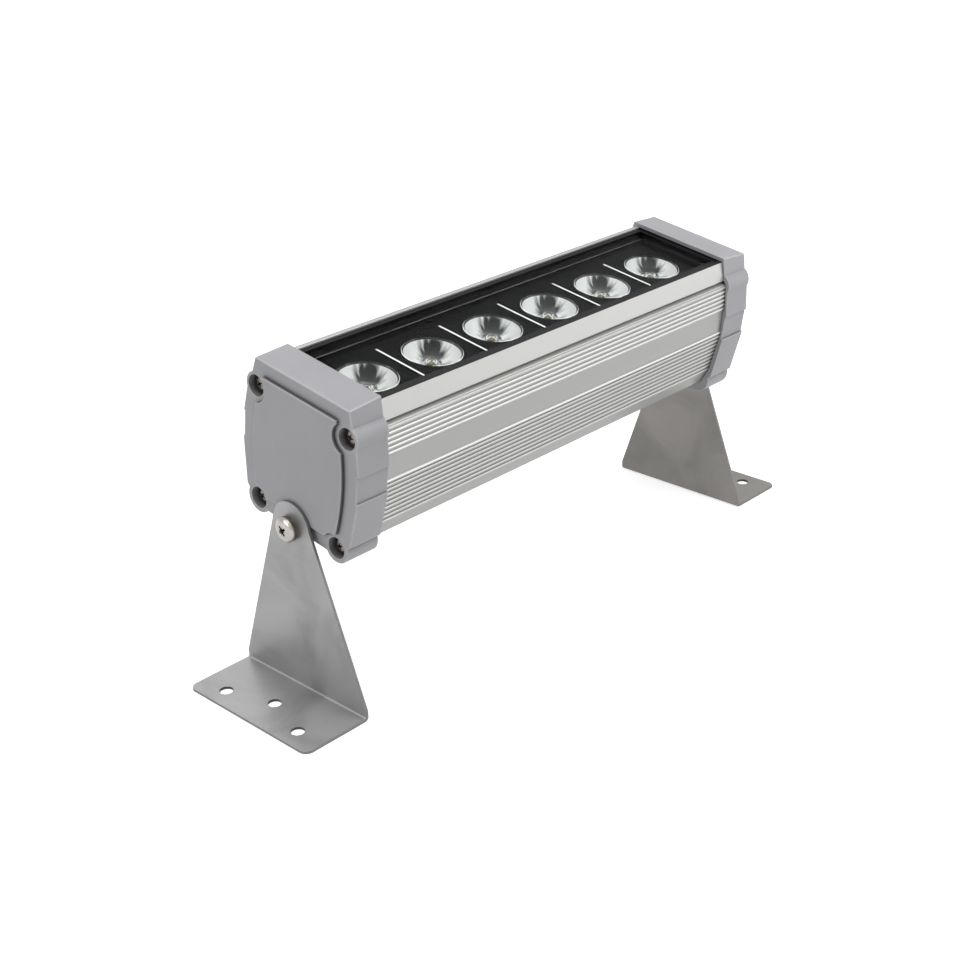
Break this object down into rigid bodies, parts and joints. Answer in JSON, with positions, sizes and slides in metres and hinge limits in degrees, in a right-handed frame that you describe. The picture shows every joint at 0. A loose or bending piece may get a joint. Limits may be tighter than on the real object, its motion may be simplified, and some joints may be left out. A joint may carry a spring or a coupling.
{
  "type": "wall washer light",
  "caption": "Outdoor wall washer light: finned aluminium housing with a glass window over round lenses, cast end caps, and two bent stainless brackets it tilts between.",
  "frame": {"origin": "midway between the two feet, on the plane that they stand on, at the centre of the four outer fixing holes", "axes": "+X along the light from the left bracket to the right one with the cable gland, -Y towards the front, to which the head is tilted, +Z away from the mounting surface"},
  "size_m": [0.3844, 0.0937, 0.1728],
  "materials": {
    "anodised_aluminium": "satin anodised extrusion",
    "grey_painted_casting": "matte mid-grey powder paint",
    "stainless_sheet": "satin",
    "stainless_fastener": "polished",
    "gasket_silicone": "matte",
    "window_glass": "clear",
    "black_moulding": "matte black",
    "clear_acrylic": "clear moulded",
    "led_package": "phosphor under a clear dome",
    "white_circuit_board": "white solder resist",
    "thermal_pad": "matte",
    "insulating_sheet": "satin",
    "green_circuit_board": "solder resist",
    "winding": "taped winding",
    "capacitor_sleeve": "shrink sleeve",
    "chip_moulding": "matte",
    "terminal_moulding": "satin",
    "red_lead": "satin",
    "black_lead": "satin",
    "nickel_plated_brass": "nickel plated",
    "threaded_brass": "machined",
    "bush_moulding": "matte"
  },
  "bodies": {
    "bracket_left": {"bracket_left": "stainless_sheet"},
    "head": {"housing": "anodised_aluminium", "end_cap_left": "grey_painted_casting", "end_cap_right": "grey_painted_casting", "cap_gasket_left": "gasket_silicone", "cap_gasket_right": "gasket_silicone", "glass_seal": "gasket_silicone", "gland_seal": "gasket_silicone", "cap_screws_left": "stainless_fastener", "cap_screws_right": "stainless_fastener", "board_screws": "stainless_fastener", "pivot_washer_left": "stainless_fastener", "pivot_washer_right": "stainless_fastener", "pivot_screw_left": "stainless_fastener", "pivot_screw_right": "stainless_fastener", "window_glass": "window_glass", "optic_tray": "black_moulding", "lens_holder_1": "black_moulding", "lens_holder_2": "black_moulding", "lens_holder_3": "black_moulding", "lens_holder_4": "black_moulding", "lens_holder_5": "black_moulding", "lens_holder_6": "black_moulding", "lens_1": "clear_acrylic", "lens_2": "clear_acrylic", "lens_3": "clear_acrylic", "lens_4": "clear_acrylic", "lens_5": "clear_acrylic", "lens_6": "clear_acrylic", "led_1": "led_package", "led_2": "led_package", "led_3": "led_package", "led_4": "led_package", "led_5": "led_package", "led_6": "led_package", "led_board": "white_circuit_board", "thermal_pad": "thermal_pad", "driver_tray": "insulating_sheet", "driver_board": "green_circuit_board", "driver_transformer": "winding", "driver_capacitors": "capacitor_sleeve", "driver_chips": "chip_moulding", "terminal_block": "terminal_moulding", "lead_positive": "red_lead", "lead_negative": "black_lead", "gland_body": "nickel_plated_brass", "gland_nut": "nickel_plated_brass", "gland_cap": "nickel_plated_brass", "pivot_insert_left": "threaded_brass", "pivot_insert_right": "threaded_brass", "pivot_bush_left": "bush_moulding", "pivot_bush_right": "bush_moulding"},
    "bracket_right": {"bracket_right": "stainless_sheet"}
  },
  "joints": [
    {"name": "head_tilt", "type": "hinge", "parent": "bracket_left", "child": "head", "pos_m": [-0.153, 0, 0.0905], "axis": [1, 0, 0], "range_deg": [-99.5, 80.5]},
    {"name": "right_bracket_pivot", "type": "hinge", "parent": "head", "child": "bracket_right", "pos_m": [0.153, 0, 0.0905], "axis": [1, 0, 0], "range_deg": [-80.5, 99.5]}
  ],
  "couplings": [
    {"joint": "right_bracket_pivot", "follows": "head_tilt", "ratio": -1}
  ]
}
